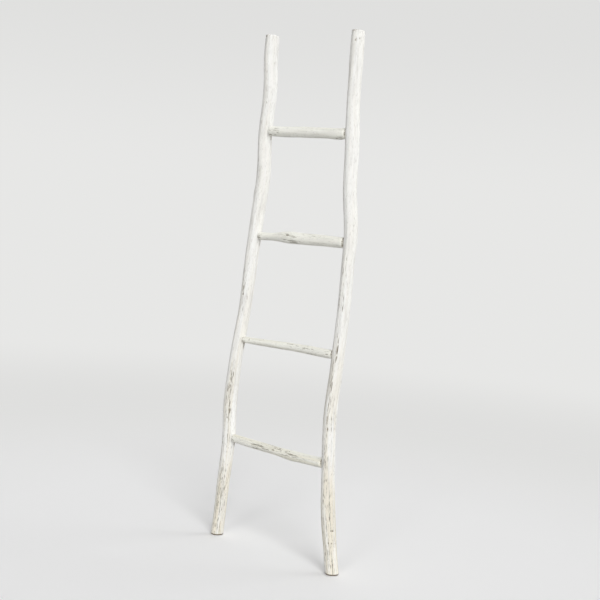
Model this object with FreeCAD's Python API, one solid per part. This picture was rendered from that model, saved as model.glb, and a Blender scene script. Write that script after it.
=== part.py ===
import FreeCAD, Part
import os

# A rustic leaning ladder: two crooked peeled poles, four branch rungs with round tenons
# in blind mortises, and one nail through each tenon from the back of the pole.
# Millimetres. +X runs from the left rail to the right rail, +Y to the back, +Z up.

# Rails
rail_length = 1500.0
rail_diameter = 39.0
foot_spread = 463.0       # between the rails' straight lines, at the floor
top_spread = 328.0        # the same, at the top
rail_crook = 25.0         # the furthest that a rail strays sideways from its straight line
foot_chamfer = 2.5
top_round = 5.0
rail_section_count = 25

# Rungs and their tenons
tenon_diameter = 16.0
rung_swell = 7.0          # how far a full rung stands out round its tenon
rung_crook = 6.0          # the furthest that a rung strays from its straight line
shoulder_gap = 0.2        # between a rung's shoulder and the rail that it meets
shoulder_round_share = 0.8
tenon_clearance = 0.1     # all round a tenon in its mortise
tenon_end_gap = 1.0       # between a tenon's tip and the bottom of its mortise
tenon_tip_chamfer = 1.5
mortise_past_axis = 6.5   # how far a mortise runs past the middle of its rail
rung_section_count = 13

# Nails, one in each tenon
nail_diameter = 2.2
nail_head_diameter = 4.6
nail_head_thickness = 1.2
nail_point_length = 3.0
nail_sink = 0.6           # how far a head is driven below the rail's surface
nail_point_cover = 7.5    # wood left in front of a nail's point, on a rail of plain diameter
nail_clearance = 0.05

# What every cut runs past the surface that it opens
cut_overrun = 12.0

# Each rail, from foot to top: height share, sideways and back crook shares, girth share
left_rail_shares = [
    (0.000, 0.00, 0.00, 0.98),
    (0.090, 0.09, 0.00, 0.97),
    (0.190, 0.17, 0.08, 1.03),
    (0.270, -0.15, -0.06, 1.06),
    (0.380, 0.11, -0.12, 0.99),
    (0.470, 0.42, 0.08, 0.98),
    (0.570, 0.42, 0.24, 1.01),
    (0.640, 0.51, 0.36, 1.06),
    (0.725, 0.72, 0.40, 1.09),
    (0.800, 0.46, 0.20, 1.02),
    (0.890, 0.61, 0.08, 1.05),
    (0.950, 0.27, -0.08, 1.06),
    (1.000, 0.18, -0.16, 0.98),
]
right_rail_shares = [
    (0.000, 0.00, 0.00, 1.00),
    (0.055, -0.41, -0.12, 0.98),
    (0.105, -0.76, -0.24, 1.05),
    (0.170, -0.92, -0.36, 1.00),
    (0.280, -1.00, -0.44, 1.00),
    (0.325, -0.88, -0.40, 0.97),
    (0.390, -0.54, -0.24, 0.94),
    (0.490, -0.16, -0.04, 0.94),
    (0.580, 0.05, 0.08, 0.92),
    (0.635, 0.14, 0.16, 1.00),
    (0.710, -0.16, 0.00, 1.02),
    (0.780, -0.19, 0.03, 1.04),
    (0.870, -0.38, 0.08, 0.97),
    (0.950, -0.26, 0.12, 0.99),
    (1.000, -0.14, 0.16, 0.95),
]

# Where each rung meets the left and the right rail, as shares of their length
rung_1_height_shares = (0.2018, 0.2012)
rung_2_height_shares = (0.4018, 0.4046)
rung_3_height_shares = (0.6092, 0.6120)
rung_4_height_shares = (0.8147, 0.8111)

# Each rung, from its left shoulder to its right one: length share, upward and back crook
# shares, swell share
rung_1_shares = [
    (0.00, 0.00, 0.00, 0.62),
    (0.25, -0.10, -0.20, 0.68),
    (0.50, -0.20, -0.40, 0.76),
    (0.66, -0.45, -0.20, 1.00),
    (0.85, -0.20, -0.10, 0.92),
    (1.00, 0.00, 0.00, 0.92),
]
rung_2_shares = [
    (0.00, 0.00, 0.00, 0.22),
    (0.30, 0.20, 0.25, 0.38),
    (0.60, 0.35, 0.35, 0.58),
    (0.85, 0.15, 0.10, 0.70),
    (1.00, 0.00, 0.00, 0.64),
]
rung_3_shares = [
    (0.00, 0.00, 0.00, 0.50),
    (0.18, 0.22, -0.20, 0.60),
    (0.30, 0.40, -0.45, 1.12),
    (0.38, 0.42, -0.45, 1.36),
    (0.52, 0.30, -0.25, 1.28),
    (0.72, 0.18, 0.10, 1.22),
    (1.00, 0.00, 0.00, 1.00),
]
rung_4_shares = [
    (0.00, 0.00, 0.00, 0.95),
    (0.25, -0.05, 0.25, 1.06),
    (0.45, 0.10, 0.40, 1.10),
    (0.75, 0.00, 0.20, 1.06),
    (0.90, -0.25, 0.05, 1.18),
    (1.00, 0.00, 0.00, 1.00),
]
rungs = {
    "rung_1": (rung_1_height_shares, rung_1_shares),
    "rung_2": (rung_2_height_shares, rung_2_shares),
    "rung_3": (rung_3_height_shares, rung_3_shares),
    "rung_4": (rung_4_height_shares, rung_4_shares),
}

# Where along a shoulder's flat land the rail's surface is felt for
land_shares = (-1.0, -0.5, 0.0, 0.5, 1.0)

rail_radius = rail_diameter / 2
tenon_radius = tenon_diameter / 2
nail_radius = nail_diameter / 2
nail_head_radius = nail_head_diameter / 2
nail_length = rail_diameter - nail_sink - nail_point_cover
mortise_radius = tenon_radius + tenon_clearance
back = FreeCAD.Vector(0, 1, 0)
up = FreeCAD.Vector(0, 0, 1)


# A column of a table, read at any share along it, on a smooth curve through the rows
def slope(rows, row, column):
    low = rows[max(row - 1, 0)]
    high = rows[min(row + 1, len(rows) - 1)]
    return (high[column] - low[column]) / (high[0] - low[0])


def read_table(rows, share, column):
    row = 0
    while row < len(rows) - 2 and rows[row + 1][0] < share:
        row += 1
    width = rows[row + 1][0] - rows[row][0]
    passed = (share - rows[row][0]) / width
    left = 1 - passed
    start = rows[row][column] * (1 + 2 * passed) * left ** 2
    leave = slope(rows, row, column) * width * passed * left ** 2
    end = rows[row + 1][column] * (1 + 2 * left) * passed ** 2
    arrive = -slope(rows, row + 1, column) * width * left * passed ** 2
    return start + leave + end + arrive


def even_shares(count):
    return [step / (count - 1) for step in range(count)]


# A solid through round sections, each a centre and a radius, with its seam on one side
def pole(sections, along, seam):
    wires = []
    for centre, radius in sections:
        ring = Part.Circle(centre, along, radius)
        ring.XAxis = seam
        wires.append(Part.Wire([ring.toShape()]))
    return Part.makeLoft(wires, True)


# The edges round the end of a pole, found by the flat face that they close
def end_edges(solid, along, outward):
    ends = [face for face in solid.Faces if isinstance(face.Surface, Part.Plane)]
    ends.sort(key=lambda face: face.CenterOfMass.dot(along))
    return ends[-1 if outward else 0].Edges


# The rails
class Rail:
    def __init__(self, side, rows):
        self.side = side
        self.rows = rows

    def centre(self, height):
        share = height / rail_length
        spread = foot_spread + (top_spread - foot_spread) * share
        sideways = self.side * spread / 2 + rail_crook * read_table(self.rows, share, 1)
        return FreeCAD.Vector(sideways, rail_crook * read_table(self.rows, share, 2), height)

    def radius(self, height):
        return rail_radius * read_table(self.rows, height / rail_length, 3)

    def solid(self):
        heights = [rail_length * share for share in even_shares(rail_section_count)]
        sections = [(self.centre(height), self.radius(height)) for height in heights]
        rail = pole(sections, up, FreeCAD.Vector(self.side, 0, 0))
        rail = rail.makeChamfer(foot_chamfer, end_edges(rail, up, False))
        return rail.makeFillet(top_round, end_edges(rail, up, True))


# One end of a rung: where its axis meets the rail's, and how far from there its shoulder lies
class RungEnd:
    def __init__(self, rail, height, inward, swell_share):
        self.place = rail.centre(height)
        self.inward = inward
        self.rail_radius = rail.radius(height)
        shoulder_width = rung_swell * swell_share
        self.round = shoulder_round_share * shoulder_width
        land = tenon_radius + shoulder_width - self.round
        reaches = []
        for share in land_shares:
            level = height + share * land
            offset = rail.centre(level) - self.place
            reaches.append(offset.dot(inward) + rail.radius(level))
        self.shoulder = max(reaches) + shoulder_gap

    def mortise(self):
        start = self.place - self.inward * mortise_past_axis
        depth = mortise_past_axis + self.shoulder + cut_overrun
        return Part.makeCylinder(mortise_radius, depth, start, self.inward)

    def tenon(self):
        reach = mortise_past_axis - tenon_end_gap
        start = self.place - self.inward * reach
        peg = Part.makeCylinder(tenon_radius, reach + self.shoulder, start, self.inward)
        return peg.makeChamfer(tenon_tip_chamfer, end_edges(peg, self.inward, False))

    # The nail runs from the back of the rail through the middle of the tenon
    def nail_seat(self):
        return self.place + back * (self.rail_radius - nail_sink - nail_head_thickness)

    def nail(self):
        seat = self.nail_seat()
        shank_length = nail_length - nail_head_thickness - nail_point_length
        head = Part.makeCylinder(nail_head_radius, nail_head_thickness, seat, back)
        shank = Part.makeCylinder(nail_radius, shank_length, seat, -back)
        point = Part.makeCone(nail_radius, 0, nail_point_length, seat - back * shank_length, -back)
        return head.fuse([shank, point]).removeSplitter()

    def nail_hole(self):
        seat = self.nail_seat()
        depth = nail_length - nail_head_thickness + nail_clearance
        shank = Part.makeCylinder(nail_radius + nail_clearance, depth, seat, -back)
        head = Part.makeCylinder(nail_head_radius + nail_clearance, cut_overrun, seat, back)
        return shank.fuse(head)


# A rung's body between its shoulders, rounded at both ends, with its two tenons
def rung_solid(left_end, right_end, rows):
    along = left_end.inward
    start = left_end.place + along * left_end.shoulder
    stop = right_end.place - along * right_end.shoulder
    across = along.cross(up).normalize()
    lift = across.cross(along)
    sections = []
    for share in even_shares(rung_section_count):
        centre = start + (stop - start) * share
        centre += lift * (rung_crook * read_table(rows, share, 1))
        centre -= across * (rung_crook * read_table(rows, share, 2))
        sections.append((centre, tenon_radius + rung_swell * read_table(rows, share, 3)))
    body = pole(sections, along, -across)
    body = body.makeFillet(left_end.round, end_edges(body, along, False))
    body = body.makeFillet(right_end.round, end_edges(body, along, True))
    rung = body.fuse([left_end.tenon(), right_end.tenon()]).removeSplitter()
    return rung.cut([left_end.nail_hole(), right_end.nail_hole()])


left_rail = Rail(-1, left_rail_shares)
right_rail = Rail(1, right_rail_shares)
nodes = {}
left_cuts = []
right_cuts = []
for name, ((left_share, right_share), rows) in rungs.items():
    left_height = rail_length * left_share
    right_height = rail_length * right_share
    along = (right_rail.centre(right_height) - left_rail.centre(left_height)).normalize()
    left_end = RungEnd(left_rail, left_height, along, rows[0][3])
    right_end = RungEnd(right_rail, right_height, -along, rows[-1][3])
    nodes[name] = rung_solid(left_end, right_end, rows)
    nodes[name + "_left_nail"] = left_end.nail()
    nodes[name + "_right_nail"] = right_end.nail()
    left_cuts += [left_end.mortise(), left_end.nail_hole()]
    right_cuts += [right_end.mortise(), right_end.nail_hole()]
nodes["left_rail"] = left_rail.solid().cut(left_cuts)
nodes["right_rail"] = right_rail.solid().cut(right_cuts)

# The origin is on the floor, under the middle of the whole ladder
reach = Part.makeCompound(list(nodes.values())).optimalBoundingBox(False, False)
centring = FreeCAD.Vector(-reach.Center.x, -reach.Center.y, -reach.ZMin)

os.makedirs("parts", exist_ok=True)
for name, shape in nodes.items():
    shape.translate(centring)
    shape.exportStep("parts/" + name + ".step")
    box = shape.optimalBoundingBox(False, False)
    print(name, "solids", len(shape.Solids), "valid", shape.isValid(), "mm3", round(shape.Volume),
          "x", round(box.XMin, 1), round(box.XMax, 1), "y", round(box.YMin, 1), round(box.YMax, 1),
          "z", round(box.ZMin, 1), round(box.ZMax, 1))
print("ladder", round(reach.XLength, 1), round(reach.YLength, 1), round(reach.ZLength, 1),
      "centred by", [round(value, 2) for value in centring])
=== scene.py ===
import bpy
import math
import random
from mathutils import Matrix, Vector, noise
from mathutils.bvhtree import BVHTree
from mathutils.interpolate import poly_3d_calc


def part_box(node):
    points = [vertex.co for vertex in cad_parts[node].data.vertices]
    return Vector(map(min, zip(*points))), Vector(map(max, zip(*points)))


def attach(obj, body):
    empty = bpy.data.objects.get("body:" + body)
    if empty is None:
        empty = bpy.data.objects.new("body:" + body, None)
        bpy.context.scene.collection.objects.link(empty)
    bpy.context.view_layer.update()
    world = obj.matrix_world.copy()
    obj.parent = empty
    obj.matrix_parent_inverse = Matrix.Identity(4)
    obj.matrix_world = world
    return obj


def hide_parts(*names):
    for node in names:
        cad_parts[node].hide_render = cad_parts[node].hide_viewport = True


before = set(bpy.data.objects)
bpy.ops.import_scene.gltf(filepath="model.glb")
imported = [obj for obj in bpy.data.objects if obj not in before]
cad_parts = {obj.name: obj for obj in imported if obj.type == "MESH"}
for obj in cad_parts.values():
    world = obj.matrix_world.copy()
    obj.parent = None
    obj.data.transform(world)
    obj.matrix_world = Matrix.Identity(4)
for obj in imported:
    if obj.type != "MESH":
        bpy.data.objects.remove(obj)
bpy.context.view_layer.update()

# A whitewashed branch ladder: two crooked poles and four rungs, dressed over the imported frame.
# Metres, and degrees for turns. A mark's turn is counted round its pole: on a rail from the side that
# faces the viewer, on a rung from the front.

scene = bpy.context.scene
viewTurn = -48  # the viewer stands this far round from the ladder's right-hand side
print("frame loaded:", len(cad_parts), "nodes")


# Small helpers

def deselect():
    if bpy.context.mode != "OBJECT":
        bpy.ops.object.mode_set(mode="OBJECT")
    bpy.ops.object.select_all(action="DESELECT")


def activate(piece):
    deselect()
    piece.select_set(True)
    bpy.context.view_layer.objects.active = piece


smoothBelow = 42  # edges that turn more than this stay crisp
touch = 1e-6      # nearer than this is the same place
square = 0.99     # how much of a face's normal lies on the axis that the face is square to
capSpare = 0.6    # of a ring's width, left round the middle of an end


def smooth(piece):
    activate(piece)
    bpy.ops.object.shade_smooth_by_angle(angle=math.radians(smoothBelow))


def editSelected(piece, kind, wanted):  # opens edit mode with the edges or faces that pass the test
    activate(piece)
    mesh = piece.data
    bpy.context.tool_settings.mesh_select_mode = (False, kind == "edges", kind == "polygons")
    for parts in (mesh.vertices, mesh.edges, mesh.polygons):
        parts.foreach_set("select", [False] * len(parts))
    parts = getattr(mesh, kind)
    parts.foreach_set("select", [bool(wanted(mesh, part)) for part in parts])
    bpy.ops.object.mode_set(mode="EDIT")


def easeIn(value, low, high):  # 0 below low, 1 above high, smooth between
    share = min(1.0, max(0.0, (value - low) / (high - low)))
    return share * share * (3 - 2 * share)


def angleApart(a, b):
    return (a - b + math.pi) % (2 * math.pi) - math.pi


# Spines: the middle line and the girth of each pole, felt out on the frame's own node

feel = dict(reach=0.06, rounds=8, railStep=0.0125, railMargin=0.008, rungStep=0.001, rungMargin=0.003,
            spareSteps=5, footRim=0.0002, tipRim=0.0006, tenonRow=5, shoulderRise=0.0004)


def skinOf(mesh):
    return BVHTree.FromPolygons([v.co.copy() for v in mesh.vertices],
                                [tuple(p.vertices) for p in mesh.polygons])


def feelRing(skin, centre, feelers):
    for step in range(feel["rounds"]):
        spans = []
        for feeler in feelers:
            hit = skin.ray_cast(centre + feeler * feel["reach"], -feeler)[0]
            spans.append((hit - centre).dot(feeler))
        radius = sum(spans) / len(spans)
        for feeler, span in zip(feelers, spans):
            centre = centre + feeler * (2 * (span - radius) / len(feelers))
    return centre, radius


def spineOf(node, start, along, right, out, stations, turns):
    skin = skinOf(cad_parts[node].data)
    feelers = [right * math.cos(math.radians(t)) + out * math.sin(math.radians(t)) for t in turns]
    rows = []
    centre = start.copy()
    last = 0.0
    for at in stations:
        centre = centre + along * (at - last)
        last = at
        centre, radius = feelRing(skin, centre, feelers)
        rows.append((at, centre.copy(), radius))
    return dict(rows=rows, along=along, right=right, out=out)


def spineAt(spine, at):  # middle and radius at a length, carried on in a straight line past the ends
    rows = spine["rows"]
    low, high = 0, len(rows) - 1
    while high - low > 1:
        mid = (low + high) // 2
        if rows[mid][0] <= at:
            low = mid
        else:
            high = mid
    (a, middleA, radiusA), (b, middleB, radiusB) = rows[low], rows[high]
    share = (at - a) / (b - a)
    inside = min(1.0, max(0.0, share))
    return middleA.lerp(middleB, share), radiusA + (radiusB - radiusA) * inside


def railSpine(node, innerTurn):
    low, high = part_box(node)
    foot = [v.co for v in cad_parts[node].data.vertices if v.co.z < low.z + feel["footRim"]]
    start = sum(foot, Vector()) / len(foot)
    span = high.z - low.z - 2 * feel["railMargin"]
    steps = round(span / feel["railStep"])
    stations = [feel["railMargin"] + span / steps * step for step in range(steps + 1)]
    turns = [t for t in range(0, 360, 45) if t not in (innerTurn, 90)]  # clear of mortises and nails
    return spineOf(node, start, Vector((0, 0, 1)), Vector((1, 0, 0)), Vector((0, 1, 0)), stations, turns)


def rungTip(node, side):
    low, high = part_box(node)
    edge = high.x if side > 0 else low.x
    tip = [v.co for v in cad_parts[node].data.vertices if abs(v.co.x - edge) < feel["tipRim"]]
    return sum(tip, Vector()) / len(tip)


def tenonOf(spine):
    return spine["rows"][feel["tenonRow"]][2]


def rungSpine(node):
    start, stop = rungTip(node, -1), rungTip(node, 1)
    along = (stop - start).normalized()
    out = along.cross(Vector((0, 0, 1))).normalized()  # towards the front
    right = out.cross(along)                            # upwards
    length = (stop - start).length
    steps = int(length / feel["rungStep"]) - feel["spareSteps"]  # clear of the far tip too
    stations = [feel["rungMargin"] + feel["rungStep"] * step for step in range(steps + 1)]
    spine = spineOf(node, start, along, right, out, stations, [22.5 + 45 * k for k in range(8)])
    spine["length"] = length
    return spine


spines = {"left_rail": railSpine("left_rail", 0), "right_rail": railSpine("right_rail", 180)}
rungNames = ["rung_1", "rung_2", "rung_3", "rung_4"]
for name in rungNames:
    spines[name] = rungSpine(name)
for name, spine in spines.items():
    radii = [row[2] for row in spine["rows"]]
    print("spine", name, len(radii), "stations, radius", round(min(radii), 4), "to", round(max(radii), 4))


# Joints: where each rung's tenon enters a rail, and where its nail is driven

def jointOf(rung, side):
    spine = spines[rung]
    return dict(rung=rung, tip=rungTip(rung, side), inward=spine["along"] * -side, tenon=tenonOf(spine))


joints = {"left_rail": [jointOf(name, -1) for name in rungNames],
          "right_rail": [jointOf(name, 1) for name in rungNames]}


# Straight stock: a cylinder with eased ends, rings along it and rings in from each end

def addStock(name, stock, rings, length):
    radius, capRings = stock["radius"], stock["capRings"]
    footEase, topEase = stock["footEase"], stock["topEase"]
    deselect()
    bpy.ops.mesh.primitive_cylinder_add(vertices=stock["sides"], radius=radius, depth=length,
                                        end_fill_type="NGON", location=(0, 0, length / 2))
    piece = bpy.context.active_object
    piece.name = name
    piece.data.name = name
    bpy.ops.object.transform_apply(location=True, rotation=True, scale=True)
    for level, ease, cuts in ((0, footEase, stock["footCuts"]), (length, topEase, stock["topCuts"])):
        def onRim(mesh, edge):
            return all(abs(mesh.vertices[v].co.z - level) < touch for v in edge.vertices)
        editSelected(piece, "edges", onRim)
        bpy.ops.mesh.bevel(offset=ease, segments=cuts, affect="EDGES")
        bpy.ops.object.mode_set(mode="OBJECT")
    editSelected(piece, "polygons", lambda mesh, face: abs(face.normal.z) > square)
    ringGap = (radius - max(footEase, topEase)) / (capRings + capSpare)
    for step in range(capRings):
        bpy.ops.mesh.inset(thickness=ringGap, depth=0)
    bpy.ops.mesh.poke()
    bpy.ops.object.mode_set(mode="OBJECT")

    def isLong(mesh, edge):
        a, b = (mesh.vertices[v].co for v in edge.vertices)
        return abs(a.z - b.z) > length / 2
    editSelected(piece, "edges", isLong)
    bpy.ops.mesh.subdivide_edgering(number_cuts=rings, interpolation="LINEAR", smoothness=0)
    bpy.ops.object.mode_set(mode="OBJECT")
    return piece


# Carving: how far the skin stands out or sinks at one point of a pole, and how bare it is there, painted
# shade included
# knots: height, turn, size, scar. checks: low, high, turn, depth. nicks: height, turn, width, depth.
# rubbed stretches: low, high, turn, reach, amount, some of them painted shade. painted shadows of the rungs:
# top, drop, turn, reach, amount.

knotShape = dict(stretch=1.7, far=3.5, span=6, swell=0.16, swellReach=1.5, lip=0.10, lipReach=0.28,
                 sink=0.42, dark=0.6, halo=(1.4, 1.1), scar=(0.75, 0.5))
checkShape = dict(half=0.0013, wander=7.0, wanderRate=22, turnRate=0.37, far=0.006,
                  stainReach=0.0026, stainFade=0.0024, stain=0.35, dark=0.6)
nickShape = dict(half=0.0032, dark=1.2)
markFade = dict(ends=0.3, sides=0.6, top=0.2, tail=0.001)
grainShape = dict(lumps=0.8, flutes=2.6, fineFlutes=5.2, fineShare=0.5, fineRate=1.7, fibres=11,
                  skin=(0.55, 0.97), sawn=(0.80, 0.90), fluteRelief=0.7, fibreRelief=0.5)


def knotRelief(mark, at, arcAt):
    height, turn, size, scar = mark
    knot = knotShape
    q = math.hypot((at - height) / knot["stretch"], arcAt(turn)) / size
    if q > knot["far"]:
        return 0.0, 0.0
    swell = knot["swell"] * size * math.exp(-(q / knot["swellReach"]) ** 2)
    lip = knot["lip"] * size * math.exp(-((q - 1.0) / knot["lipReach"]) ** 2)
    sink = knot["sink"] * size * scar * max(0.0, 1 - q * q)
    stains = [easeIn(edge - q, 0, soft) for edge, soft in (knot["halo"], knot["scar"])]
    return swell + lip * scar - sink, scar * knot["dark"] * sum(stains)


def checkRelief(mark, at, arcAt, seed):
    low, high, turn, depth = mark
    check = checkShape
    wander = check["wander"] * noise.noise(Vector((at * check["wanderRate"], turn * check["turnRate"], seed)))
    across = abs(arcAt(turn + wander))
    if across > check["far"]:
        return 0.0, 0.0
    run = math.sin(math.pi * (at - low) / (high - low)) ** 0.5
    cut = max(0.0, 1 - (across / check["half"]) ** 2) * run
    stain = check["stain"] * run * easeIn(check["stainReach"] - across, 0, check["stainFade"])
    return -depth * cut, depth / check["half"] * (check["dark"] * cut + stain)


def nickRelief(mark, at, arcAt):
    height, turn, width, depth = mark
    along = abs(at - height) / nickShape["half"]
    across = abs(arcAt(turn)) / width
    if along > 1 or across > 1:
        return 0.0, 0.0
    cut = (1 - along * along) * (1 - across ** 4)
    return -depth * cut, nickShape["dark"] * cut


def rubAndShade(mark, at, arcAt):  # a rubbed stretch, or a stretch of painted shade: no shape of its own, only thinner or darker paint
    low, high, turn, reach, amount = mark
    inside = min(at - low, high - at) / (markFade["ends"] * (high - low))
    return amount * easeIn(inside, 0, 1) * easeIn(1 - abs(arcAt(turn)) / reach, 0, markFade["sides"])


def paintedShadowUnder(mark, at, arcAt):  # painted shadow of a rung on its rail, running down from under the joint and narrowing to a point
    top, drop, turn, reach, amount = mark
    share = (top - at) / drop
    narrowed = reach * (1 + markFade["tail"] - share)
    across = easeIn(1 - abs(arcAt(turn)) / narrowed, 0, markFade["sides"])
    return amount * easeIn(share, 0, markFade["top"]) * across


def marksNear(look, at):
    knots = [mark for mark in look["knots"] if abs(at - mark[0]) < knotShape["span"] * mark[2]]
    checks = [mark for mark in look["checks"] if mark[0] < at < mark[1]]
    nicks = [mark for mark in look["nicks"] if abs(at - mark[0]) < nickShape["half"]]
    rubsAndShade = [mark for mark in look["rubsAndShade"] if mark[0] < at < mark[1]]
    runs = [mark for mark in look["runs"] if mark[0] - mark[1] < at < mark[0]]
    return knots, checks, nicks, rubsAndShade, runs


def roomIn(box, middle, c, s):  # how far a rail's skin may stand from its middle and stay in the node's box
    low, high = box
    across = ((high.x if c > 0 else low.x) - middle.x) / c if abs(c) > touch else 1.0
    depth = ((high.y if s > 0 else low.y) - middle.y) / s if abs(s) > touch else 1.0
    return min(across, depth)


def carve(piece, spine, stock, look, calmAt):
    mesh = piece.data
    grain, bare, relief, sawn, places = [], [], [], [], []
    rings = {}
    facing = math.radians(look["facing"])
    seed = look["seed"]
    for vertex in mesh.vertices:
        x, y, at = vertex.co
        key = round(at, 6)
        if key not in rings:
            rings[key] = (*spineAt(spine, at), marksNear(look, at), calmAt(at))
        middle, radius, (knots, checks, nicks, rubsAndShade, runs), calm = rings[key]
        share = math.hypot(x, y) / stock["radius"]
        turn = math.atan2(y, x)
        skin = easeIn(share, *grainShape["skin"])  # the ends keep a flatter middle
        c, s = math.cos(turn), math.sin(turn)

        def arcAt(offset):
            return angleApart(turn, facing + math.radians(offset)) * radius

        k = grainShape["lumps"]
        lump = noise.noise(Vector((c * k, s * k, at * look["lumpRate"] + seed)))
        k = grainShape["flutes"]
        flute = noise.noise(Vector((c * k + seed, s * k, at * look["fluteRate"])))
        k = grainShape["fineFlutes"]
        fine = noise.noise(Vector((c * k, s * k + seed, at * look["fluteRate"] * grainShape["fineRate"])))
        flute += grainShape["fineShare"] * fine
        k = grainShape["fibres"]
        fibre = noise.noise(Vector((c * k, s * k + seed, at * look["fibreRate"])))
        push = look["lump"] * lump + look["flute"] * flute + look["fibre"] * fibre - look["sink"]
        barenessAndShade = 0.0
        reliefs = [knotRelief(mark, at, arcAt) for mark in knots]
        reliefs += [checkRelief(mark, at, arcAt, seed) for mark in checks]
        reliefs += [nickRelief(mark, at, arcAt) for mark in nicks]
        for lift, dark in reliefs:
            push += lift
            barenessAndShade = max(barenessAndShade, dark)
        # rubs and painted shadows darken the paint: some rubs and all the painted shadows are painted shade
        for mark in rubsAndShade:
            barenessAndShade += rubAndShade(mark, at, arcAt)
        for mark in runs:
            barenessAndShade += paintedShadowUnder(mark, at, arcAt)
        reach = radius * share + push * skin * calm(turn, radius)
        if "box" in stock:
            reach = min(reach, roomIn(stock["box"], middle, c, s))
        place = middle + spine["right"] * (c * reach) + spine["out"] * (s * reach)
        places.extend(stock["finishEnd"](place, at, share, turn))
        grain.extend((x, y, at + seed))
        # the bareness here holds wear and painted shade alike
        bare.append(barenessAndShade * skin)
        sawn.append(1 - easeIn(share, *grainShape["sawn"]))
        ridge = flute * grainShape["fluteRelief"] + fibre * grainShape["fibreRelief"]
        relief.append(0.5 + 0.5 * max(-1.0, min(1.0, ridge)))
    mesh.vertices.foreach_set("co", places)
    mesh.attributes.new("grainAt", "FLOAT_VECTOR", "POINT").data.foreach_set("vector", grain)
    for name, values in (("bareWoodAndShade", bare), ("relief", relief), ("sawnEnd", sawn)):
        mesh.attributes.new(name, "FLOAT", "POINT").data.foreach_set("value", values)
    mesh.update()


# Rails

railStock = dict(sides=112, rings=620, radius=0.0195, footEase=0.0032, footCuts=3, topEase=0.0035, topCuts=6,
                 capRings=6)
railTop = dict(below=0.016, dome=0.0010, slope=0.0012, slopeTurn=40.107, face=0.0005,
               checkDepth=0.0012, checkHalf=0.0007, checkFade=(0.1, 0.5))
extraMark = dict(lowBias=1.7, upTo=0.93, lengths=(0.02, 0.085), depths=(0.0004, 0.0009), topMargin=0.012,
                 knotMargin=0.08, knotTurns=(70, 290), knotSizes=(0.003, 0.006), scars=(0.2, 0.9))
# the painted shadow under each rung on its rail: how far it drops, where round the rail, how wide
jointShadow = dict(drop=0.032, turn=70, reach=0.016)
calmZone = dict(reach=0.027, mortise=(0.010, 0.026), nail=(0.004, 0.012))
leftRail = dict(
    node="left_rail", seed=3.7, facing=viewTurn, lump=0.0011, flute=0.0008, fibre=0.00022, sink=0.0003,
    lumpRate=11, fluteRate=6, fibreRate=26, extraChecks=30, extraKnots=7,
    endChecks=(35, 160, 262),
    knots=[(1.416, 40, 0.0046, 0.5), (1.413, -29, 0.003, 0.4), (1.303, -17, 0.0032, 0.5),
           (0.850, 33, 0.004, 0.3), (0.739, -38, 0.0042, 0.9), (0.386, 5, 0.005, 0.7),
           (0.364, -18, 0.003, 0.7)],
    checks=[(0.885, 0.907, -14, 0.0008), (0.822, 0.855, -17, 0.0008), (0.745, 0.770, -42, 0.001),
            (0.488, 0.509, -5, 0.0011), (0.470, 0.492, -8, 0.0011), (0.430, 0.464, -12, 0.0011),
            (0.396, 0.417, 1, 0.001), (0.372, 0.394, 22, 0.0011), (0.342, 0.362, 17, 0.0009),
            (0.188, 0.217, -17, 0.001), (0.170, 0.184, -14, 0.0013), (0.148, 0.174, 38, 0.0012),
            (0.130, 0.150, -20, 0.0013), (0.138, 0.160, 24, 0.0013), (0.090, 0.116, 33, 0.0012),
            (0.075, 0.094, 15, 0.0013), (0.090, 0.111, -24, 0.0011), (0.043, 0.060, -4, 0.0011),
            (0.024, 0.040, -21, 0.0012)],
    nicks=[],
    # the long rub down the side away from the light darkens the shaded limb: partly streaky wear, partly
    # painted shade
    rubsAndShade=[(0.33, 0.57, -22, 0.013, 0.26), (0.55, 1.45, -50, 0.012, 0.22), (-0.06, 0.27, -10, 0.028, 0.18),
          (-0.30, 1.10, 62, 0.018, -0.25), (1.489, 1.511, -64, 0.013, 0.9), (-0.02, 0.055, -8, 0.024, 0.22)],
    # how dark each rung's painted shadow on this rail is
    runs=dict(rung_1=1.45, rung_2=1.35, rung_3=1.0, rung_4=0.85))
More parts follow.
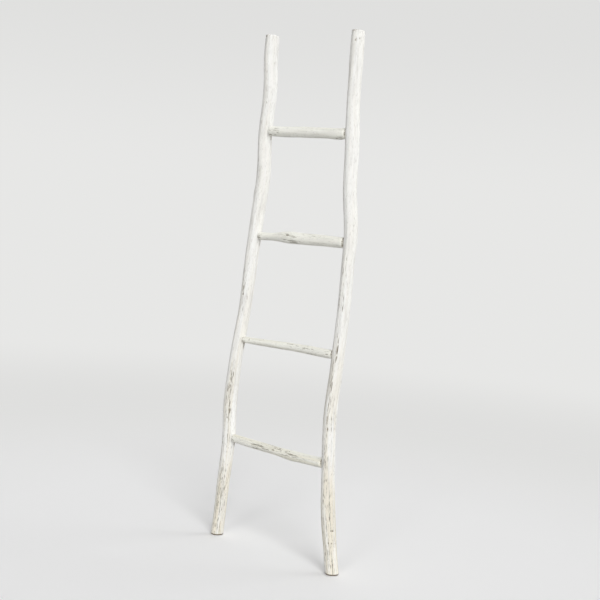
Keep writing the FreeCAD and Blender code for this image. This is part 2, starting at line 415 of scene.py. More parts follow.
rightRail = dict(
    node="right_rail", seed=11.2, facing=viewTurn, lump=0.0011, flute=0.0008, fibre=0.00022, sink=0.0003,
    lumpRate=10, fluteRate=6.5, fibreRate=26, extraChecks=34, extraKnots=7,
    endChecks=(80, 205, 318),
    knots=[(1.470, -20, 0.0042, 0.9), (1.474, 10, 0.0032, 0.7), (1.164, 62, 0.0045, 0.4),
           (0.967, 19, 0.0045, 0.6), (0.404, -19, 0.0032, 0.9), (0.262, -18, 0.003, 0.8),
           (1.10, -8, 0.006, 0.1)],
    checks=[(0.863, 0.883, -15, 0.0007), (0.816, 0.838, -10, 0.0008), (0.753, 0.772, -12, 0.0012),
            (0.728, 0.746, -13, 0.0012), (0.681, 0.698, 12, 0.001), (0.641, 0.660, -16, 0.0012),
            (0.610, 0.638, -18, 0.0013), (0.586, 0.607, -20, 0.0011), (0.502, 0.537, -23, 0.0013),
            (0.448, 0.495, -30, 0.0013), (0.468, 0.490, -15, 0.0012), (0.446, 0.465, -11, 0.0012),
            (0.438, 0.457, 48, 0.0012), (0.412, 0.442, -28, 0.0013), (0.283, 0.320, -31, 0.0013),
            (0.288, 0.305, -13, 0.0012), (0.213, 0.258, 16, 0.0009), (0.148, 0.172, 6, 0.0011),
            (0.020, 0.033, -8, 0.0009)],
    nicks=[(0.123, 26, 0.006, 0.0012), (0.089, -14, 0.0022, 0.0011), (0.089, 15, 0.003, 0.0011),
           (0.087, 40, 0.002, 0.001), (0.087, 64, 0.0026, 0.0011)],
    # the long rub down the side away from the light darkens the shaded limb: partly streaky wear, partly
    # painted shade
    rubsAndShade=[(0.24, 0.68, -40, 0.014, 0.28), (0.36, 0.58, -15, 0.010, 0.18), (0.50, 0.90, -28, 0.013, 0.26),
          (0.55, 1.45, -55, 0.010, 0.20), (-0.06, 0.27, -8, 0.028, 0.15), (-0.30, 1.10, 62, 0.018, -0.25),
          (1.489, 1.511, -60, 0.014, 0.9)],
    runs=dict())


def growMarks(look, length):  # more checks and knots all round the pole, thickest near the foot
    draw = random.Random(look["node"])
    extra = extraMark
    for step in range(look["extraChecks"]):
        low = length * draw.random() ** extra["lowBias"] * extra["upTo"]
        high = min(low + draw.uniform(*extra["lengths"]), length - extra["topMargin"])
        look["checks"].append((low, high, draw.uniform(-180, 180), draw.uniform(*extra["depths"])))
    for step in range(look["extraKnots"]):
        height = draw.uniform(extra["knotMargin"], length - extra["knotMargin"])
        look["knots"].append((height, draw.uniform(*extra["knotTurns"]), draw.uniform(*extra["knotSizes"]),
                              draw.uniform(*extra["scars"])))


def growPaintedShadows(look):  # painted shadow of each rung on the rail below it, on the side that the viewer sees
    stain = jointShadow
    return [(joint["tip"].z, stain["drop"], stain["turn"], stain["reach"], look["runs"][joint["rung"]])
            for joint in joints[look["node"]] if joint["rung"] in look["runs"]]


def calmNear(rail):  # the skin lies true round each mortise and nail head
    def calmAt(at):
        near = [joint for joint in joints[rail] if abs(at - joint["tip"].z) < calmZone["reach"]]

        def calm(turn, radius):
            quiet = 1.0
            for joint in near:
                across = angleApart(turn, math.atan2(joint["inward"].y, joint["inward"].x)) * radius
                quiet *= easeIn(math.hypot(at - joint["tip"].z, across), *calmZone["mortise"])
                across = angleApart(turn, math.pi / 2) * radius
                quiet *= easeIn(math.hypot(at - joint["tip"].z, across), *calmZone["nail"])
            return quiet
        return calm
    return calmAt


def railEnd(look, length):
    top = railTop

    def finishEnd(place, at, share, turn):  # the sawn top is a little domed and askew, with drying checks
        near = easeIn(at, length - top["below"], length)
        askew = 1 + math.cos(turn - math.radians(top["slopeTurn"]))
        drop = top["dome"] * share * share + top["slope"] * share * askew
        if at > length - top["face"]:
            for check in look["endChecks"]:
                across = abs(angleApart(turn, math.radians(check))) * share * railStock["radius"]
                cut = easeIn(share, *top["checkFade"]) * max(0.0, 1 - across / top["checkHalf"])
                drop += top["checkDepth"] * cut
        place.z = at - near * drop
        return place
    return finishEnd


def addRail(look):
    node = look["node"]
    low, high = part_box(node)
    length = high.z - low.z
    growMarks(look, length)
    look["runs"] = growPaintedShadows(look)
    stock = railStock
    piece = addStock(node + "_wood", stock, stock["rings"], length)
    stock = dict(stock, finishEnd=railEnd(look, length), box=(low, high))
    carve(piece, spines[node], stock, look, calmNear(node))
    print("carved", node, len(piece.data.polygons), "faces")
    return piece


# Mortises and nail seats are drilled into the carved rails

drill = dict(mortisePlay=0.0004, nailPlay=0.0002, sides=40, past=0.012, mortiseBeyond=0.001, nailDeep=0.0015)


def addDrill(radius, start, stop):
    deselect()
    span = stop - start
    bpy.ops.mesh.primitive_cylinder_add(vertices=drill["sides"], radius=radius, depth=span.length,
                                        location=(start + stop) / 2,
                                        rotation=span.to_track_quat("Z", "Y").to_euler())
    bit = bpy.context.active_object
    bpy.ops.object.transform_apply(location=True, rotation=True, scale=True)
    return bit


def nailSeat(rung, side):
    node = rung + ("_left_nail" if side < 0 else "_right_nail")
    low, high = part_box(node)
    mid = (low + high) / 2
    return Vector((mid.x, high.y, mid.z)), (high.x - low.x) / 2


def carryMarks(uncut, mesh):  # the rims of the holes take grain, wear and painted shade from the skin that was there
    skin = skinOf(uncut)
    for point in {v for face in mesh.polygons if face.material_index for v in face.vertices}:
        hit, _, face, _ = skin.find_nearest(mesh.vertices[point].co)
        corners = uncut.polygons[face].vertices
        shares = list(zip(corners, poly_3d_calc([uncut.vertices[v].co for v in corners], hit)))
        was = uncut.attributes["grainAt"].data
        mesh.attributes["grainAt"].data[point].vector = sum((was[v].vector * k for v, k in shares), Vector())
        for name in ("bareWoodAndShade", "relief", "sawnEnd"):
            was = uncut.attributes[name].data
            mesh.attributes[name].data[point].value = sum(was[v].value * k for v, k in shares)


def drillHoles(piece, bits, lining):
    uncut = piece.data.copy()
    for bit in bits:
        bit.data.materials.append(lining)
    activate(bits[0])
    for bit in bits:
        bit.select_set(True)
    bpy.ops.object.join()
    cutter = bpy.context.active_object
    activate(piece)
    cut = piece.modifiers.new("holes", "BOOLEAN")
    cut.operation = "DIFFERENCE"
    cut.solver = "MANIFOLD"
    cut.material_mode = "TRANSFER"
    cut.object = cutter
    bpy.ops.object.modifier_apply(modifier=cut.name)
    bpy.data.objects.remove(cutter)
    carryMarks(uncut, piece.data)
    bpy.data.meshes.remove(uncut)
    smooth(piece)


def drillRail(piece, rail, side, lining):
    bits = []
    for joint in joints[rail]:
        inward = joint["inward"]
        start = joint["tip"] - inward * drill["mortiseBeyond"]
        spread = (spineAt(spines[rail], joint["tip"].z)[0] - joint["tip"]).length
        stop = joint["tip"] + inward * (spread + 2 * railStock["radius"])
        bits.append(addDrill(joint["tenon"] + drill["mortisePlay"], start, stop))
        seat, headRadius = nailSeat(joint["rung"], side)
        bits.append(addDrill(headRadius + drill["nailPlay"], seat - Vector((0, drill["nailDeep"], 0)),
                             seat + Vector((0, drill["past"], 0))))
    drillHoles(piece, bits, lining)


# Rungs

rungStock = dict(sides=72, ringGap=0.0016, radius=0.013, footEase=0.0015, footCuts=3, topEase=0.0015,
                 topCuts=6, capRings=2, calm=0.012, nose=0.0045, noseShare=0.55)
rungLooks = {
    "rung_1": dict(
        seed=21.3, knots=[(-0.010, -14, 0.0036, 0.9), (0.060, 40, 0.006, 0.1), (0.162, 6, 0.003, 0.5)],
        checks=[(-0.110, -0.076, -10, 0.0013), (-0.080, -0.055, -10, 0.0013), (-0.062, -0.046, 0, 0.0012),
                (-0.050, -0.026, 4, 0.0013), (-0.085, -0.046, -28, 0.0008), (0.044, 0.066, -26, 0.0012),
                (0.060, 0.082, -24, 0.0013), (0.038, 0.062, 0, 0.0013), (0.064, 0.092, -4, 0.0013)],
        nicks=[], rubsAndShade=[(-0.130, -0.004, 14, 0.012, 0.35), (-0.010, 0.105, -8, 0.014, 0.25)]),
    "rung_2": dict(
        seed=27.9, knots=[(-0.094, -53, 0.0026, 0.8), (0.160, 4, 0.005, 0.4)],
        checks=[(-0.030, 0.030, -42, 0.0007), (0.020, 0.070, -30, 0.0008), (0.060, 0.125, -28, 0.0008)],
        nicks=[(-0.150, -24, 0.004, 0.0006)],
        # the rub low on rung_2's front darkens its underside: painted shade
        rubsAndShade=[(-0.02, 0.15, -12, 0.010, 0.18), (-0.12, 0.19, 66, 0.008, 0.55)]),
    "rung_3": dict(
        # a wider dark seam at the right end: painted shade over its lit shoulder
        seed=33.1, rightSeam=(-0.0036, 0.006, -22, 0.032, 1.15),
        knots=[(-0.031, -26, 0.0062, 0.3), (0.060, -37, 0.005, 0.15), (0.108, -39, 0.004, 0.3),
               (0.166, 10, 0.0035, 0.5)],
        checks=[(-0.022, 0.014, -7, 0.0013), (0.018, 0.042, -44, 0.0009), (0.045, 0.075, -38, 0.0009),
                (-0.048, -0.022, -34, 0.0013), (-0.036, -0.014, -18, 0.0012), (-0.076, -0.044, -22, 0.0011),
                (-0.050, -0.028, 24, 0.0012), (-0.030, 0.006, 33, 0.0014), (-0.022, 0.012, 52, 0.0014)],
        # the rubs low on rung_3's front darken its underside: partly olive wash, partly painted shade
        nicks=[], rubsAndShade=[(-0.065, 0.025, 44, 0.011, 0.5), (0.000, 0.178, 42, 0.010, 0.28),
                        (-0.060, 0.022, -16, 0.012, 0.32), (-0.030, 0.006, 40, 0.008, 0.15)]),
    "rung_4": dict(
        seed=39.6, knots=[(-0.103, 15, 0.005, 0.45), (0.047, -24, 0.004, 0.4), (0.137, 50, 0.007, 0.3)],
        checks=[(0.030, 0.060, 31, 0.0009), (-0.122, -0.092, -5, 0.0010), (0.034, 0.062, -23, 0.0009),
                (-0.120, -0.094, -33, 0.0010), (-0.120, -0.098, 46, 0.0009), (0.122, 0.144, 53, 0.0012)],
        nicks=[], rubsAndShade=[(-0.135, -0.080, 5, 0.016, 0.25), (0.112, 0.150, 48, 0.011, 0.4),
                        (-0.080, 0.120, 20, 0.022, -0.3)])}
rungPlain = dict(facing=90, lump=0.0007, flute=0.00045, fibre=0.00014, sink=0.0002,
                 lumpRate=16, fluteRate=9, fibreRate=34, runs=[],
                 # beside the rails: dark seams, partly paint missed in the joint and partly painted shade
                 # over the lit shoulders; painted contact shadow under the left ends, and the rail's painted
                 # shadow on top of the right ends
                 leftSeam=(-0.0009, 0.0017, 14, 0.036, 1.1), rightSeam=(-0.0022, 0.006, -40, 0.024, 0.9),
                 leftPaintedShade=(-0.008, 0.018, 34, 0.022, 0.62), rightPaintedShade=(-0.003, 0.002, -92, 0.012, 0.8))


def shoulderOf(spine, order):  # the first station where the rung stands out round its tenon
    rows = spine["rows"] if order > 0 else spine["rows"][::-1]
    tenon = rows[feel["tenonRow"]][2]
    for at, middle, radius in rows:
        if radius > tenon + feel["shoulderRise"]:
            return at
    return rows[-1][0]


def nosed(spine):  # the left shoulder is whittled round before the tenon starts
    first, last = shoulderOf(spine, 1), shoulderOf(spine, -1)
    tenon = tenonOf(spine)
    rows = []
    for at, middle, radius in spine["rows"]:
        into = (at - first) / rungStock["nose"]
        if 0 <= into < 1:
            radius -= rungStock["noseShare"] * (radius - tenon) * (1 - math.sqrt(1 - (1 - into) ** 2))
        rows.append((at, middle, radius))
    return dict(spine, rows=rows, first=first, last=last)


def addRung(node):
    spine = nosed(spines[node])
    look = dict(rungPlain, **rungLooks[node])
    stock = rungStock
    first, last, length = spine["first"], spine["last"], spine["length"]
    zero = -rungTip(node, -1).x / spine["along"].x  # marks are placed from the ladder's middle
    for kind in ("knots", "nicks"):
        look[kind] = [(at + zero, *rest) for at, *rest in look[kind]]
    for kind in ("checks", "rubsAndShade"):
        look[kind] = [(low + zero, high + zero, *rest) for low, high, *rest in look[kind]]
    for kind in ("Seam", "PaintedShade"):  # paint missed beside the rails with painted shade over the lit shoulders, and a painted contact shadow there
        for shoulder, end in ((first, "left"), (last, "right")):
            low, high, *rest = look[end + kind]
            look["rubsAndShade"].append((shoulder + low, shoulder + high, *rest))
    piece = addStock(node + "_wood", stock, round(length / stock["ringGap"]), length)

    def calmAt(at):
        quiet = easeIn(min(at - first, last - at), 0.0, stock["calm"])
        return lambda turn, radius: quiet

    def finishEnd(place, at, share, turn):
        return place
    carve(piece, spine, dict(stock, finishEnd=finishEnd), look, calmAt)
    print("carved", node, len(piece.data.polygons), "faces")
    return piece


# Nails: wire nails with hammered heads, in the places and sizes of the frame's own

nailStock = dict(sides=28, head=0.0012, point=0.003, blunt=0.06, rimEase=0.0003, rimCuts=3, headRings=4,
                 dome=0.0003, dent=0.0003, dentRate=520)


def addNail(node):
    shape = nailStock
    low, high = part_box(node)
    middle = (low + high) / 2
    headRadius = (high.x - low.x) / 2
    wire = max(math.hypot(v.co.x - middle.x, v.co.z - middle.z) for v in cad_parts[node].data.vertices
               if v.co.y < high.y - 2 * shape["head"])
    seat, shoulder = high.y - shape["head"], low.y + shape["point"]
    deselect()
    bpy.ops.mesh.primitive_cylinder_add(vertices=shape["sides"], radius=wire, depth=seat - shoulder,
                                        end_fill_type="NGON", rotation=(-math.pi / 2, 0, 0),
                                        location=(middle.x, (seat + shoulder) / 2, middle.z))
    piece = bpy.context.active_object
    piece.name = node + "_steel"
    piece.data.name = piece.name
    bpy.ops.object.transform_apply(location=True, rotation=True, scale=True)
    editSelected(piece, "polygons", lambda mesh, face: face.normal.y < -square)
    bpy.ops.mesh.extrude_region_move(TRANSFORM_OT_translate=dict(value=(0, -shape["point"], 0)))
    bpy.ops.transform.resize(value=(shape["blunt"], 1, shape["blunt"]),
                             center_override=(middle.x, low.y, middle.z))
    bpy.ops.object.mode_set(mode="OBJECT")
    editSelected(piece, "polygons", lambda mesh, face: face.normal.y > square)
    spread = headRadius / wire
    bpy.ops.mesh.extrude_region_move()
    bpy.ops.transform.resize(value=(spread, 1, spread), center_override=(middle.x, seat, middle.z))
    bpy.ops.mesh.extrude_region_move(TRANSFORM_OT_translate=dict(value=(0, shape["head"], 0)))
    bpy.ops.object.mode_set(mode="OBJECT")

    def onRim(mesh, edge):
        return all(mesh.vertices[v].co.y > high.y - touch for v in edge.vertices)
    editSelected(piece, "edges", onRim)
    bpy.ops.mesh.bevel(offset=shape["rimEase"], segments=shape["rimCuts"], affect="EDGES")
    bpy.ops.object.mode_set(mode="OBJECT")
    editSelected(piece, "polygons", lambda mesh, face: face.normal.y > square)
    ringGap = (headRadius - shape["rimEase"]) / (shape["headRings"] + capSpare)
    for step in range(shape["headRings"]):
        bpy.ops.mesh.inset(thickness=ringGap, depth=0)
    bpy.ops.mesh.poke()
    bpy.ops.object.mode_set(mode="OBJECT")
    for vertex in piece.data.vertices:  # the hammer leaves the head a little domed and dented
        if vertex.co.y > high.y - shape["rimEase"]:
            out = math.hypot(vertex.co.x - middle.x, vertex.co.z - middle.z) / headRadius
            dent = abs(noise.noise(Vector((vertex.co.x, middle.y, vertex.co.z)) * shape["dentRate"]))
            vertex.co.y -= shape["dome"] * out * out + shape["dent"] * dent
    piece.data.update()
    return piece


# Materials

def newTree(name):
    material = bpy.data.materials.new(name)
    material.use_nodes = True
    tree = material.node_tree
    return material, tree, tree.nodes["Principled BSDF"]


def addNode(tree, kind, **values):
    node = tree.nodes.new(kind)
    for key, value in values.items():
        setattr(node, key, value)
    return node


def feed(tree, socket, value):  # a link, or a plain value on the socket
    if hasattr(value, "is_output"):
        tree.links.new(value, socket)
    elif value is not None:
        socket.default_value = value


def maths(tree, operation, a, b=None, c=None, clamp=False):
    node = addNode(tree, "ShaderNodeMath", operation=operation, use_clamp=clamp)
    for socket, value in zip(node.inputs, (a, b, c)):
        feed(tree, socket, value)
    return node.outputs[0]


def ramp(tree, value, low, high, outLow=0.0, outHigh=1.0):
    node = addNode(tree, "ShaderNodeMapRange", interpolation_type="SMOOTHSTEP")
    for label, given in (("Value", value), ("From Min", low), ("From Max", high), ("To Min", outLow),
                         ("To Max", outHigh)):
        feed(tree, node.inputs[label], given)
    return node.outputs["Result"]


def blendColour(tree, share, a, b, kind="MIX"):
    node = addNode(tree, "ShaderNodeMix", data_type="RGBA", blend_type=kind)
    feed(tree, node.inputs[0], share)  # 0, 6, 7 and 2 are the sockets of its colour kind
    feed(tree, node.inputs[6], a)
    feed(tree, node.inputs[7], b)
    return node.outputs[2]


def greyOf(tree, value):
    node = addNode(tree, "ShaderNodeCombineColor")
    for socket in node.inputs[:3]:
        tree.links.new(value, socket)
    return node.outputs[0]


def attributeOf(tree, name, output="Fac"):
    return addNode(tree, "ShaderNodeAttribute", attribute_name=name).outputs[output]


def addBump(tree, shader, height, strength, distance):
    rise = addNode(tree, "ShaderNodeBump")
    rise.inputs["Strength"].default_value = strength
    rise.inputs["Distance"].default_value = distance
    tree.links.new(height, rise.inputs["Height"])
    tree.links.new(rise.outputs["Normal"], shader.inputs["Normal"])


def grainNoise(tree, at, across, along, detail=3.0, rough=0.55, shift=0.0, warp=0.0):
    mapping = addNode(tree, "ShaderNodeMapping")
    feed(tree, mapping.inputs["Vector"], at)
    mapping.inputs["Scale"].default_value = (across, across, along)
    mapping.inputs["Location"].default_value = (shift, -shift, shift * 0.5)
    cloud = addNode(tree, "ShaderNodeTexNoise", noise_dimensions="3D")
    feed(tree, cloud.inputs["Vector"], mapping.outputs["Vector"])
    cloud.inputs["Scale"].default_value = 1.0
    cloud.inputs["Detail"].default_value = detail
    cloud.inputs["Roughness"].default_value = rough
    cloud.inputs["Distortion"].default_value = warp
    return cloud.outputs[0]


washGrain = dict(  # across, along, detail, roughness, shift, warp
    fibre=(1100, 22, 3, 0.6, 1.3), line=(330, 14, 3, 0.6, 6.4, 0.15), dash=(260, 70, 2, 0.5, 8.8),
    streak=(400, 32, 4, 0.55, 7.1, 0.25), fleck=(420, 95, 3, 0.5, 3.9), patch=(30, 7, 2, 0.5, 5.3),
    band=(85, 5, 3, 0.5, 9.7), cloud=(60, 22, 3, 0.55, 2.2), soft=(190, 12, 3, 0.55, 4.7, 0.1))
washRamps = dict(  # from, to, and what these give where that isn't 0 and 1
    lowness=(0.95, 0.05), patch=(0.35, 0.68, -0.16, 0.16), scuffAndShade=(0.0052, 0.003),
    lines=(0.70, 0.79), lineFibre=(0.3, 0.6, 0.5, 1.0), lineWear=(0.0, 0.45, 0.35, 0.95),
    lineDash=(0.38, 0.54, 0.25, 1.0), worn=(0.0, 0.07), flecks=(0.03, 0.09), woodFibre=(0.3, 0.6, 0.45, 0.9),
    stain=(0.5, 1.1, 0.0, 0.5), deepStainAndShade=(1.2, 1.8, 0.0, 0.4), stainFibre=(0.3, 0.6, 0.6, 1.0),
    rings=(-0.2, 0.9, 0.08, 0.5), thin=(0.36, 0.64), thinLow=(0.0, 1.0, 0.25, 1.0),
    thinFoot=(0.82, 1.0, 0.0, 0.35), brushed=(0.48, 0.72), brushedWear=(-0.1, 0.4, 0.17, 0.22),
    specks=(0.56, 0.68, 0.0, 0.22), specksLow=(0.5, 1.0, 1.0, 1.9), coatTone=(0.3, 0.7, 0.945, 1.0),
    woodTone=(0.3, 0.7, 0.7, 1.25), rough=(0.0, 1.0, 0.52, 0.8))
wash = dict(markWear=0.85, dashLines=0.30, ridgeLines=-0.22, wearLines=0.22, wornLevel=0.79, wearWorn=-0.27,
            ridgeWorn=0.16, wornShift=0.08, ringRate=4200.0, ringWander=9.0, hollow=-0.8)


def washedPaintGroup():
    tree = bpy.data.node_groups.new("washed paint", "ShaderNodeTree")
    face = tree.interface
    for label in ("Paint", "Undertone", "Groove", "Bare Wood And Shade"):
        face.new_socket(label, in_out="INPUT", socket_type="NodeSocketColor")
    for label in ("Wear", "Foot Wear", "Undertone Share"):
        face.new_socket(label, in_out="INPUT", socket_type="NodeSocketFloat")
    face.new_socket("Color", in_out="OUTPUT", socket_type="NodeSocketColor")
    for label in ("Roughness", "Height"):
        face.new_socket(label, in_out="OUTPUT", socket_type="NodeSocketFloat")
    given = addNode(tree, "NodeGroupInput").outputs
    result = addNode(tree, "NodeGroupOutput").inputs

    def eased(value, name):
        return ramp(tree, value, *washRamps[name])

    def times(a, b):
        return maths(tree, "MULTIPLY", a, b)

    def mostOf(a, b):
        return maths(tree, "MAXIMUM", a, b)

    def plusTimes(a, share, b):  # b, with a share of a on top
        return maths(tree, "MULTIPLY_ADD", a, share, b)

    at = attributeOf(tree, "grainAt", "Vector")
    marks, relief, sawn = (attributeOf(tree, name) for name in ("bareWoodAndShade", "relief", "sawnEnd"))
    height = addNode(tree, "ShaderNodeSeparateXYZ")
    tree.links.new(addNode(tree, "ShaderNodeTexCoord").outputs["Object"], height.inputs[0])
    lowness = eased(height.outputs["Z"], "lowness")
    grains = {name: grainNoise(tree, at, *values) for name, values in washGrain.items()}
    fibre, dash, fleck, cloud = (grains[name] for name in ("fibre", "dash", "fleck", "cloud"))

    wear = plusTimes(lowness, given["Foot Wear"], given["Wear"])
    wear = maths(tree, "ADD", wear, eased(grains["patch"], "patch"))
    wear = plusTimes(marks, wash["markWear"], wear)

    lines = plusTimes(dash, wash["dashLines"], grains["line"])
    lines = plusTimes(relief, wash["ridgeLines"], lines)  # they gather in the hollows between the ridges
    lines = eased(plusTimes(wear, wash["wearLines"], lines), "lines")
    for value, name in ((fibre, "lineFibre"), (wear, "lineWear"), (dash, "lineDash")):
        lines = times(lines, eased(value, name))

    level = plusTimes(wear, wash["wearWorn"], wash["wornLevel"])
    rubbed = plusTimes(relief, wash["ridgeWorn"], grains["streak"])
    rubbed = maths(tree, "SUBTRACT", rubbed, wash["wornShift"])
    worn = eased(maths(tree, "SUBTRACT", rubbed, level), "worn")
    flecks = eased(maths(tree, "SUBTRACT", fleck, level), "flecks")
    woodAndShade = times(mostOf(worn, flecks), eased(fibre, "woodFibre"))
    woodAndShade = mostOf(woodAndShade, eased(height.outputs["Z"], "scuffAndShade"))  # the feet's rims: scuffed wood, with a painted contact shadow along the bottom edge
    # the marks' stains, which also carry the painted shadows and painted shade at the joints
    stain = maths(tree, "ADD", eased(marks, "stain"), eased(marks, "deepStainAndShade"))
    woodAndShade = mostOf(woodAndShade, times(stain, eased(fibre, "stainFibre")))

    inPlane = addNode(tree, "ShaderNodeVectorMath", operation="MULTIPLY")  # growth rings on the sawn ends
    tree.links.new(at, inPlane.inputs[0])
    inPlane.inputs[1].default_value = (1, 1, 0)
    fromPith = addNode(tree, "ShaderNodeVectorMath", operation="LENGTH")
    tree.links.new(inPlane.outputs[0], fromPith.inputs[0])
    rings = plusTimes(fromPith.outputs["Value"], wash["ringRate"], times(cloud, wash["ringWander"]))
    rings = times(eased(maths(tree, "SINE", rings), "rings"), sawn)

    thin = times(eased(grains["band"], "thin"), given["Undertone Share"])
    thin = times(thin, eased(lowness, "thinLow"))
    thin = maths(tree, "ADD", thin, eased(lowness, "thinFoot"), clamp=True)
    coat = blendColour(tree, thin, given["Paint"], given["Undertone"])
    brushed = times(eased(grains["soft"], "brushed"), eased(wear, "brushedWear"))
    specks = times(eased(fleck, "specks"), eased(lowness, "specksLow"))
    for mask in (brushed, specks, lines):
        coat = blendColour(tree, mask, coat, given["Groove"])
    coat = blendColour(tree, rings, coat, given["Bare Wood And Shade"])
    coat = blendColour(tree, 1.0, coat, greyOf(tree, eased(cloud, "coatTone")), "MULTIPLY")
    # the bare wood colour also colours the painted shade
    timberAndShade = greyOf(tree, eased(fibre, "woodTone"))
    timberAndShade = blendColour(tree, 1.0, given["Bare Wood And Shade"], timberAndShade, "MULTIPLY")
    tree.links.new(blendColour(tree, woodAndShade, coat, timberAndShade), result["Color"])
    tree.links.new(eased(woodAndShade, "rough"), result["Roughness"])
    hollow = mostOf(mostOf(woodAndShade, lines), rings)
    tree.links.new(plusTimes(hollow, wash["hollow"], fibre), result["Height"])
    return tree


washedPaint = washedPaintGroup()
railPaint = dict(paint=(0.905, 0.903, 0.875), undertone=(0.835, 0.788, 0.675), groove=(0.26, 0.233, 0.18),
                 bareWoodAndShade=(0.20, 0.165, 0.12), wear=0.05, footWear=0.26, undertoneShare=0.9,
                 bump=0.35, bumpHeight=0.0006, shine=0.35)
# The rungs' paint is whiter than the rails': partly cleaner paint, partly painted light that makes up for the
# light the rung fronts miss.
rungPaint = dict(paint=(0.96, 0.955, 0.885), undertone=(0.885, 0.86, 0.735), groove=(0.27, 0.245, 0.19),
                 bareWoodAndShade=(0.20, 0.17, 0.12), wear=0.03, footWear=0.22, undertoneShare=0.9,
                 bump=0.3, bumpHeight=0.0006, shine=0.35)
washSockets = {"Paint": "paint", "Undertone": "undertone", "Groove": "groove", "Bare Wood And Shade": "bareWoodAndShade",
               "Wear": "wear", "Foot Wear": "footWear", "Undertone Share": "undertoneShare"}


def woodMaterial(name, look):
    material, tree, shader = newTree(name)
    washed = addNode(tree, "ShaderNodeGroup", node_tree=washedPaint)
    for label, key in washSockets.items():
        value = look[key]
        washed.inputs[label].default_value = (*value, 1) if isinstance(value, tuple) else value
    tree.links.new(washed.outputs["Color"], shader.inputs["Base Color"])
    tree.links.new(washed.outputs["Roughness"], shader.inputs["Roughness"])
    addBump(tree, shader, washed.outputs["Height"], look["bump"], look["bumpHeight"])
    shader.inputs["Specular IOR Level"].default_value = look["shine"]
    return material


holeLook = dict(dark=(0.16, 0.11, 0.07, 1), pale=(0.30, 0.22, 0.15, 1), grain=(300, 40, 3, 0.6),
                blend=(0.35, 0.65), rough=0.85)


def liningMaterial():  # bare wood inside the drilled holes
    material, tree, shader = newTree("bare drilled wood")
    place = addNode(tree, "ShaderNodeTexCoord").outputs["Object"]
    blend = ramp(tree, grainNoise(tree, place, *holeLook["grain"]), *holeLook["blend"])
    colour = blendColour(tree, blend, holeLook["dark"], holeLook["pale"])
    tree.links.new(colour, shader.inputs["Base Color"])
    shader.inputs["Roughness"].default_value = holeLook["rough"]
    return material


nailLook = dict(wash=(0.80, 0.78, 0.72, 1), steel=(0.12, 0.10, 0.085, 1), rust=(0.20, 0.10, 0.055, 1),
                washGrain=(900, 900, 4, 0.6), rustGrain=(2200, 2200, 3, 0.6, 4.0),
                bare=(0.46, 0.6), rusty=(0.4, 0.6), rough=(0, 1, 0.55, 0.42), metal=(0.5, 1, 0.0, 0.7),
                bump=0.3, bumpHeight=0.0003)


def nailMaterial():  # a steel head daubed with the same wash, rust showing through
    material, tree, shader = newTree("daubed nail")
    place = addNode(tree, "ShaderNodeTexCoord").outputs["Object"]
    look = nailLook
    cloud = grainNoise(tree, place, *look["washGrain"])
    bare = ramp(tree, cloud, *look["bare"])
    rusty = ramp(tree, grainNoise(tree, place, *look["rustGrain"]), *look["rusty"])
    steel = blendColour(tree, rusty, look["steel"], look["rust"])
    tree.links.new(blendColour(tree, bare, look["wash"], steel), shader.inputs["Base Color"])
    tree.links.new(ramp(tree, bare, *look["rough"]), shader.inputs["Roughness"])
    tree.links.new(ramp(tree, bare, *look["metal"]), shader.inputs["Metallic"])
    addBump(tree, shader, cloud, look["bump"], look["bumpHeight"])
    return material


railWood = woodMaterial("whitewashed rail", railPaint)
rungWood = woodMaterial("whitewashed rung", rungPaint)
lining = liningMaterial()
daubedNail = nailMaterial()
print("materials ready")


# The pieces on the frame

def dress(piece, node, material):
    piece.data.materials.clear()
    piece.data.materials.append(material)
    smooth(piece)
    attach(piece, "root")
    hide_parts(node)


for look, side in ((leftRail, -1), (rightRail, 1)):
    rail = addRail(look)
    dress(rail, look["node"], railWood)
    drillRail(rail, look["node"], side, lining)
    print("drilled", look["node"])
for name in rungNames:
    dress(addRung(name), name, rungWood)
for name in rungNames:
    for nail in (name + "_left_nail", name + "_right_nail"):
        dress(addNail(nail), nail, daubedNail)
print("nails driven")


# Stage, light and camera

stage = dict(size=24.0, paleness=(0.80, 0.80, 0.79), floorSeen=0.95, floorBounce=0.42, floorRough=0.9,
             floorShine=0.1, fadeFrom=0.7, fadeTo=2.4, farFrom=2.6, farTo=5.0, farTone=0.925,
             topFrom=0.03, topTo=0.19, topTone=0.93, ambientLeft=0.13, ambientRight=0.52, ambientLean=0.8)


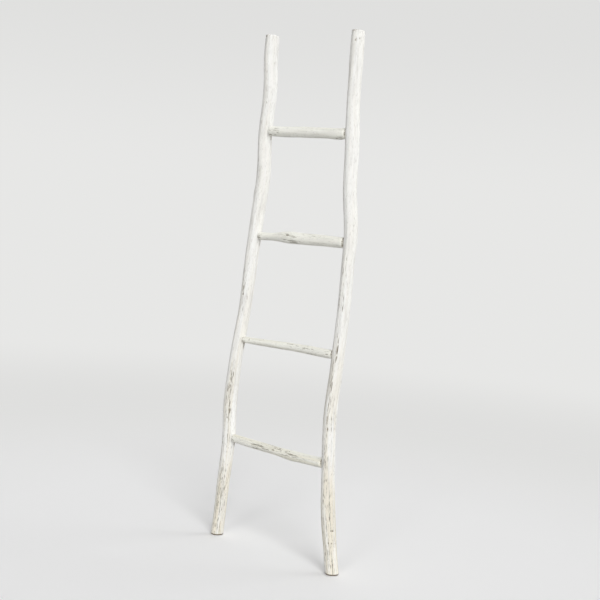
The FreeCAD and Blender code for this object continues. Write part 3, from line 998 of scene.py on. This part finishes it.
def addFloor():
    deselect()
    bpy.ops.mesh.primitive_plane_add(size=stage["size"], location=(0, 0, 0))
    floor = bpy.context.active_object
    floor.name = "floor"
    material, tree, shader = newTree("pale floor")
    shader.inputs["Roughness"].default_value = stage["floorRough"]
    shader.inputs["Specular IOR Level"].default_value = stage["floorShine"]
    place = addNode(tree, "ShaderNodeTexCoord").outputs["Object"]
    far = addNode(tree, "ShaderNodeVectorMath", operation="LENGTH")
    tree.links.new(place, far.inputs[0])
    fade = ramp(tree, far.outputs["Value"], stage["fadeFrom"], stage["fadeTo"])
    path = addNode(tree, "ShaderNodeLightPath")
    looked = maths(tree, "MAXIMUM", path.outputs["Is Camera Ray"], path.outputs["Is Glossy Ray"])
    seen = maths(tree, "MULTIPLY", fade, looked)
    colour = blendColour(tree, looked, (stage["floorBounce"],) * 3 + (1,), (stage["floorSeen"],) * 3 + (1,))
    tree.links.new(colour, shader.inputs["Base Color"])
    glow = addNode(tree, "ShaderNodeEmission")
    glow.inputs["Color"].default_value = (*stage["paleness"], 1)
    tone = ramp(tree, far.outputs["Value"], stage["farFrom"], stage["farTo"], stage["farTone"], 1.0)
    tree.links.new(tone, glow.inputs["Strength"])
    mix = addNode(tree, "ShaderNodeMixShader")
    tree.links.new(seen, mix.inputs[0])
    tree.links.new(shader.outputs[0], mix.inputs[1])
    tree.links.new(glow.outputs[0], mix.inputs[2])
    tree.links.new(mix.outputs[0], tree.nodes["Material Output"].inputs["Surface"])
    floor.data.materials.append(material)


def addWorld():
    world = bpy.data.worlds.new("studio")
    scene.world = world
    world.use_nodes = True
    tree = world.node_tree
    back = tree.nodes["Background"]
    path = addNode(tree, "ShaderNodeLightPath")
    seen = maths(tree, "MAXIMUM", path.outputs["Is Camera Ray"], path.outputs["Is Glossy Ray"])
    side = math.radians(viewTurn + 90)  # more soft light comes from the viewer's right
    direction = addNode(tree, "ShaderNodeTexCoord").outputs["Generated"]
    lean = addNode(tree, "ShaderNodeVectorMath", operation="DOT_PRODUCT")
    tree.links.new(direction, lean.inputs[0])
    lean.inputs[1].default_value = (math.cos(side), math.sin(side), 0)
    soft = ramp(tree, lean.outputs["Value"], -stage["ambientLean"], stage["ambientLean"],
                stage["ambientLeft"], stage["ambientRight"])
    rise = addNode(tree, "ShaderNodeSeparateXYZ")
    tree.links.new(direction, rise.inputs[0])
    tone = ramp(tree, rise.outputs["Z"], stage["topFrom"], stage["topTo"], 1.0, stage["topTone"])
    level = maths(tree, "MAXIMUM", soft, maths(tree, "MULTIPLY", seen, tone))
    colour = blendColour(tree, seen, (1.0, 1.0, 1.0, 1), (*stage["paleness"], 1))
    tree.links.new(colour, back.inputs["Color"])
    tree.links.new(level, back.inputs["Strength"])


lamps = {"key": dict(turn=14, rise=37, spread=24, strength=0.46),
         "front fill": dict(turn=-20, rise=8, spread=16, strength=0.37),
         "side fill": dict(turn=108, rise=14, spread=36, strength=0.355),
         "back fill": dict(turn=172, rise=24, spread=70, strength=0.19)}
lampAway = 4.0  # only where it is drawn: a sun's light is the same from anywhere


def addLamp(name, turn, rise, spread, strength):  # a broad far lamp, turned from the viewer's own direction
    data = bpy.data.lights.new(name, "SUN")
    data.energy = strength * math.pi  # a white face square to it then shows that strength
    data.angle = math.radians(spread)
    lamp = bpy.data.objects.new(name, data)
    scene.collection.objects.link(lamp)
    around, above = math.radians(viewTurn + turn), math.radians(rise)
    level = math.cos(above)
    towards = Vector((math.cos(around) * level, math.sin(around) * level, math.sin(above)))
    lamp.location = towards * lampAway
    lamp.rotation_euler = towards.to_track_quat("Z", "Y").to_euler()


camera = dict(place=(2.2069, -2.4181, 0.9648), forward=(-0.66777, 0.74128, -0.06774),
              up=(-0.10602, -0.00464, 0.99435), lens=68.67, sensor=36.0)


def addCamera():
    data = bpy.data.cameras.new("photo view")
    data.lens = camera["lens"]
    data.sensor_width = camera["sensor"]
    eye = bpy.data.objects.new("photo view", data)
    scene.collection.objects.link(eye)
    back = -Vector(camera["forward"]).normalized()
    right = Vector(camera["up"]).cross(back).normalized()
    up = back.cross(right)
    turned = Matrix((right, up, back)).transposed().to_4x4()
    eye.matrix_world = Matrix.Translation(camera["place"]) @ turned
    scene.camera = eye


addFloor()
addWorld()
for name, values in lamps.items():
    addLamp(name, **values)
addCamera()
scene.view_settings.view_transform = "Standard"
print("stage, light and camera set")
